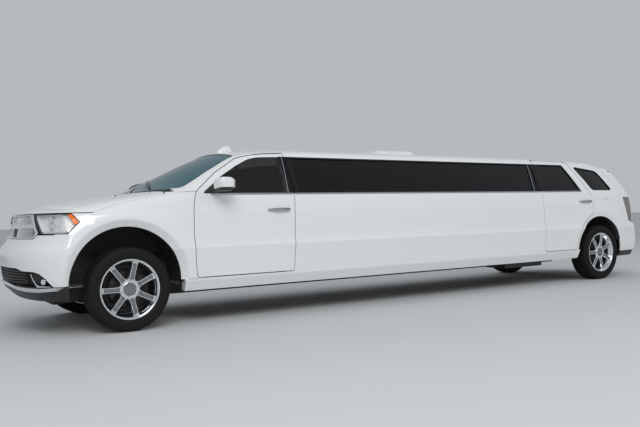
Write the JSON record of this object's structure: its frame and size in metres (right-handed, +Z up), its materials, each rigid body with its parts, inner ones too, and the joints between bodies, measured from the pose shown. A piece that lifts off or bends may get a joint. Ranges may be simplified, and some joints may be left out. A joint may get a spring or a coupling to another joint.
{
  "type": "stretched sport-utility limousine",
  "caption": "Long-wheelbase passenger limousine on a sport-utility body, with steered front wheels, hinged side doors, hood and liftgate and a hollow lounge cabin.",
  "frame": {"origin": "on the ground under the middle of the vehicle", "axes": "+X forward, +Y to the left side, +Z up"},
  "size_m": [8.7522, 2.3, 1.806],
  "materials": {
    "black_metal": "satin",
    "black_plastic": "satin",
    "carpet": "matte",
    "chrome": "polished",
    "clear_glass": "gloss",
    "dark_glass": "gloss",
    "iron": "matte",
    "lamp_clear": "gloss",
    "lamp_red": "gloss",
    "leather": "satin",
    "paint": "gloss",
    "steel": "satin",
    "trim": "matte",
    "tyre": "matte"
  },
  "bodies": {
    "chassis": {"floor": "carpet", "underframe": "black_metal", "engine": "iron", "exhaust": "steel", "drivetrain": "iron", "fuel_tank": "black_plastic", "front_suspension": "black_metal", "wheel_liners": "black_plastic", "fenders": "paint", "front_bumper": "paint", "front_valance": "black_plastic", "bumper_strip": "chrome", "grille": "chrome", "lower_grille": "black_plastic", "headlamps": "lamp_clear", "cowl": "black_plastic", "windshield": "clear_glass", "dashboard": "trim", "steering_wheel": "trim", "roof": "paint", "roof_vent": "paint", "body_sides": "paint", "sills": "paint", "side_glass": "dark_glass", "hinges": "black_metal", "rear_bumper": "paint", "tail_lamps": "lamp_red", "front_seats": "leather", "lounge_seats": "leather"},
    "wheel_fl": {"rim_fl": "chrome", "tyre_fl": "tyre"},
    "wheel_fr": {"rim_fr": "chrome", "tyre_fr": "tyre"},
    "wheel_rl": {"rim_rl": "chrome", "tyre_rl": "tyre"},
    "wheel_rr": {"rim_rr": "chrome", "tyre_rr": "tyre"},
    "knuckle_l": {"knuckle_l": "iron"},
    "knuckle_r": {"knuckle_r": "iron"},
    "hood": {"hood": "paint"},
    "door_fl": {"door_fl": "paint", "glass_fl": "dark_glass", "handles_fl": "chrome", "mirror_l": "paint"},
    "door_fr": {"door_fr": "paint", "glass_fr": "dark_glass", "handles_fr": "chrome", "mirror_r": "paint"},
    "door_rl": {"door_rl": "paint", "glass_rl": "dark_glass", "handles_rl": "chrome"},
    "door_rr": {"door_rr": "paint", "glass_rr": "dark_glass", "handles_rr": "chrome"},
    "liftgate": {"liftgate": "paint", "liftgate_glass": "dark_glass"}
  },
  "joints": [
    {"name": "steer_l", "type": "hinge", "parent": "chassis", "child": "knuckle_l", "pos_m": [3.45, 0.7, 0.3825], "axis": [0, 0, 1], "range_deg": [-33, 33]},
    {"name": "steer_r", "type": "hinge", "parent": "chassis", "child": "knuckle_r", "pos_m": [3.45, -0.7, 0.3825], "axis": [0, 0, 1], "range_deg": [-33, 33]},
    {"name": "spin_fl", "type": "hinge", "parent": "knuckle_l", "child": "wheel_fl", "pos_m": [3.45, 0.81, 0.3825], "axis": [0, 1, 0], "continuous": true},
    {"name": "spin_fr", "type": "hinge", "parent": "knuckle_r", "child": "wheel_fr", "pos_m": [3.45, -0.81, 0.3825], "axis": [0, 1, 0], "continuous": true},
    {"name": "spin_rl", "type": "hinge", "parent": "chassis", "child": "wheel_rl", "pos_m": [-3.3, 0.81, 0.3825], "axis": [0, 1, 0], "continuous": true},
    {"name": "spin_rr", "type": "hinge", "parent": "chassis", "child": "wheel_rr", "pos_m": [-3.3, -0.81, 0.3825], "axis": [0, 1, 0], "continuous": true},
    {"name": "door_fl_hinge", "type": "hinge", "parent": "chassis", "child": "door_fl", "pos_m": [2.735, 0.93, 0.71], "axis": [0, 0, -1], "range_deg": [0, 66]},
    {"name": "door_fr_hinge", "type": "hinge", "parent": "chassis", "child": "door_fr", "pos_m": [2.735, -0.93, 0.71], "axis": [0, 0, 1], "range_deg": [0, 66]},
    {"name": "door_rl_hinge", "type": "hinge", "parent": "chassis", "child": "door_rl", "pos_m": [-2.206, 0.93, 0.71], "axis": [0, 0, -1], "range_deg": [0, 66]},
    {"name": "door_rr_hinge", "type": "hinge", "parent": "chassis", "child": "door_rr", "pos_m": [-2.206, -0.93, 0.71], "axis": [0, 0, 1], "range_deg": [0, 66]},
    {"name": "hood_hinge", "type": "hinge", "parent": "chassis", "child": "hood", "pos_m": [3.098, 0, 1.226], "axis": [0, -1, 0], "range_deg": [0, 48]},
    {"name": "liftgate_hinge", "type": "hinge", "parent": "chassis", "child": "liftgate", "pos_m": [-3.907, 0, 1.6], "axis": [0, 1, 0], "range_deg": [0, 80]}
  ],
  "couplings": [
    {"joint": "steer_r", "follows": "steer_l", "ratio": 1}
  ]
}
